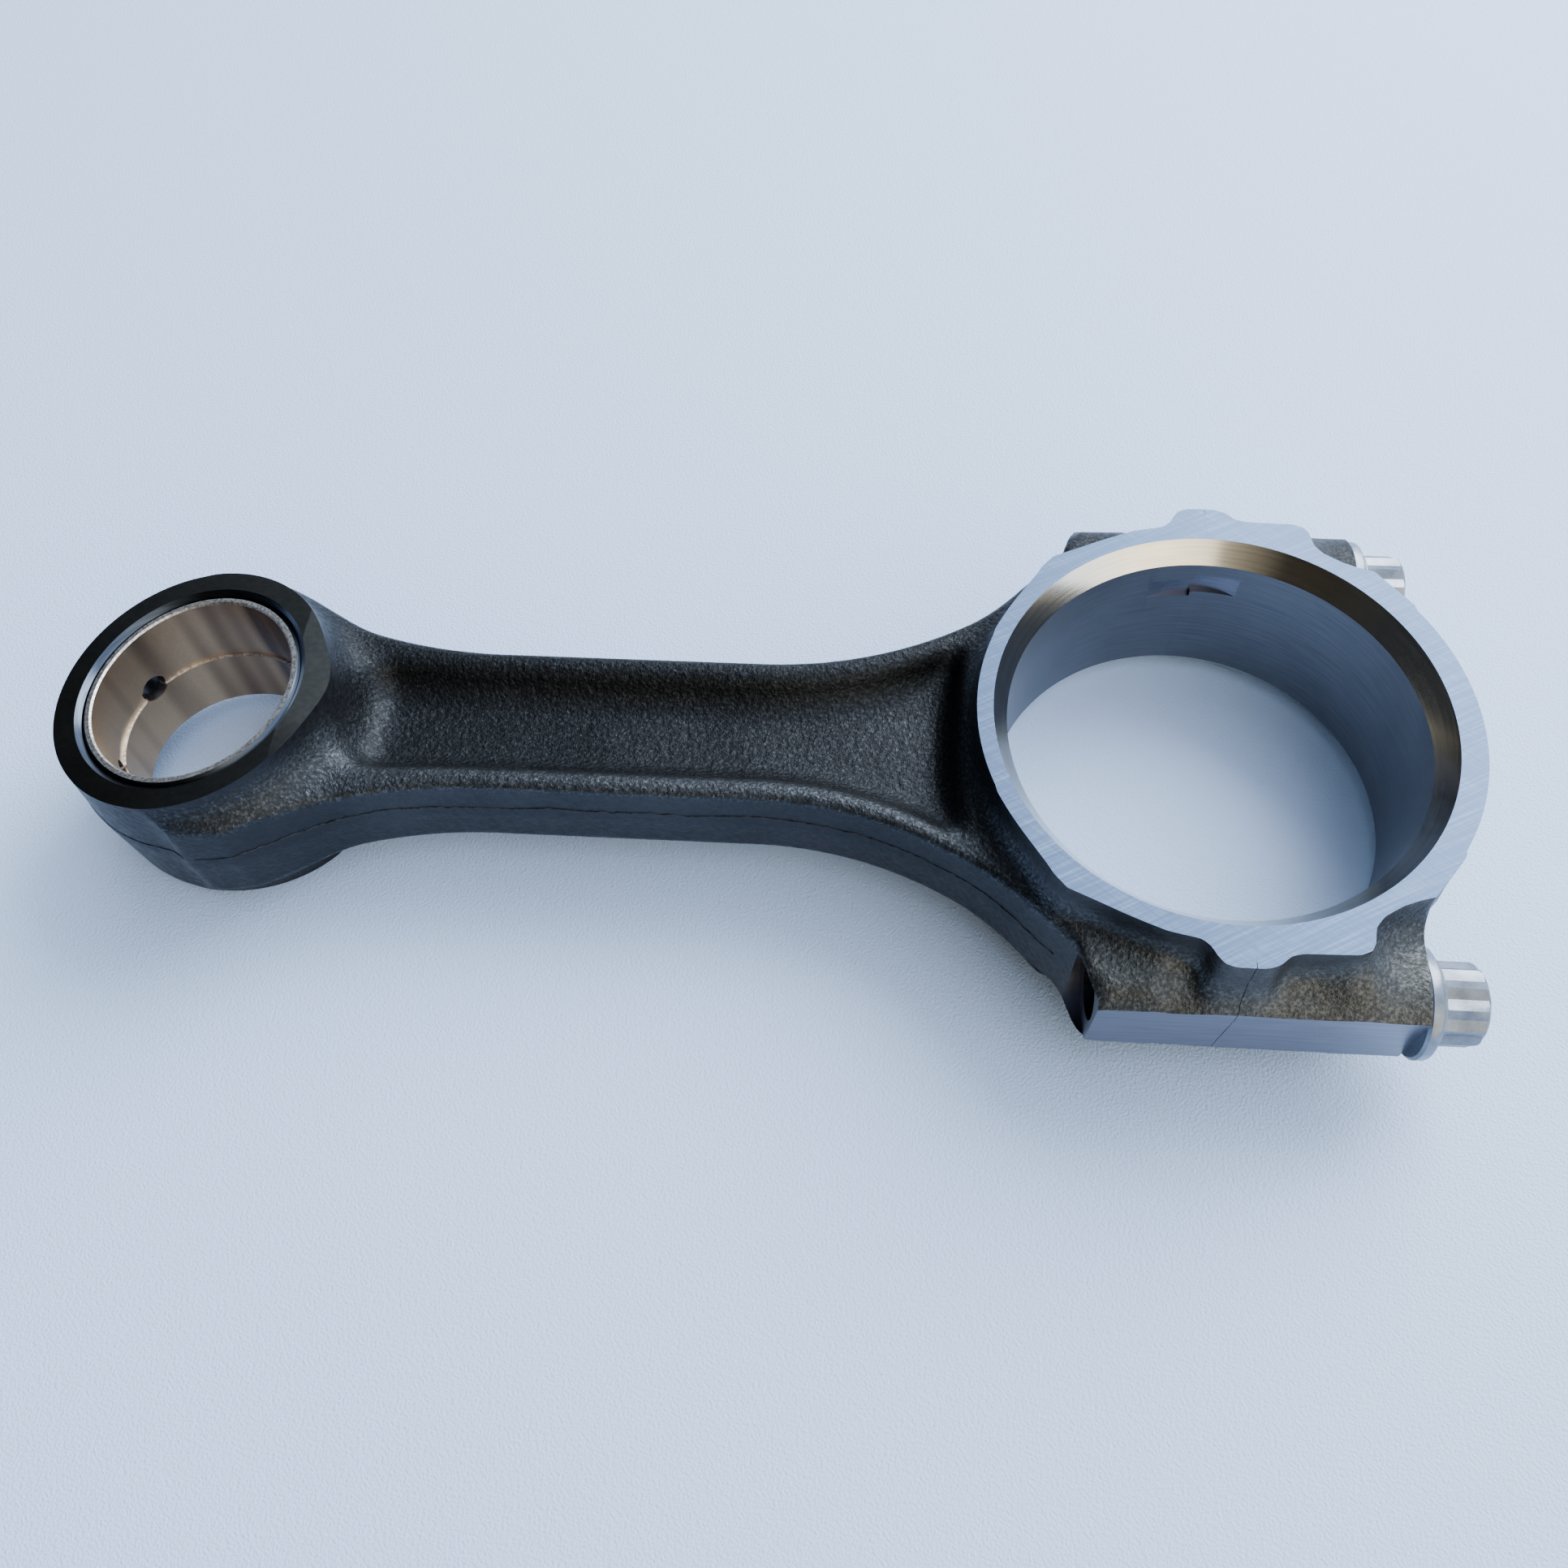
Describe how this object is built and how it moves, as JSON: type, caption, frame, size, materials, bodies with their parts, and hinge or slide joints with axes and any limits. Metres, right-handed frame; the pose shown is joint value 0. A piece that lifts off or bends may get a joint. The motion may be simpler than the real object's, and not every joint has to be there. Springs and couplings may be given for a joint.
{
  "type": "connecting rod",
  "caption": "I-section engine connecting rod lying on its side, with a bolted fracture-split big-end cap and a grooved bush in its tapered small end.",
  "frame": {"origin": "on the big-end bore axis, half way between the two ground faces of the big end", "axes": "+Z along the big-end bore, up while the rod lies on its side; +X from the small end through the big end towards the bolt heads; +Y to the left of +X"},
  "size_m": [0.2689, 0.1112, 0.0398],
  "materials": {
    "forged_steel": "shot-blasted dark forging skin with ground faces and honed bores",
    "bush_bronze": "finely bored bronze lining on a steel back",
    "bolt_steel": "satin phosphated bolt steel"
  },
  "bodies": {
    "rod": {"connecting_rod": "forged_steel", "small_end_bush": "bush_bronze"},
    "cap": {"bearing_cap": "forged_steel"},
    "bolt_near": {"cap_bolt_near": "bolt_steel"},
    "bolt_far": {"cap_bolt_far": "bolt_steel"}
  },
  "joints": [
    {"name": "cap_lift", "type": "slide", "parent": "rod", "child": "cap", "axis": [1, 0, 0], "range_m": [0, 0.06]},
    {"name": "bolt_near_withdraw", "type": "slide", "parent": "cap", "child": "bolt_near", "axis": [1, 0, 0], "range_m": [0, 0.052]},
    {"name": "bolt_far_withdraw", "type": "slide", "parent": "cap", "child": "bolt_far", "axis": [1, 0, 0], "range_m": [0, 0.052]}
  ]
}
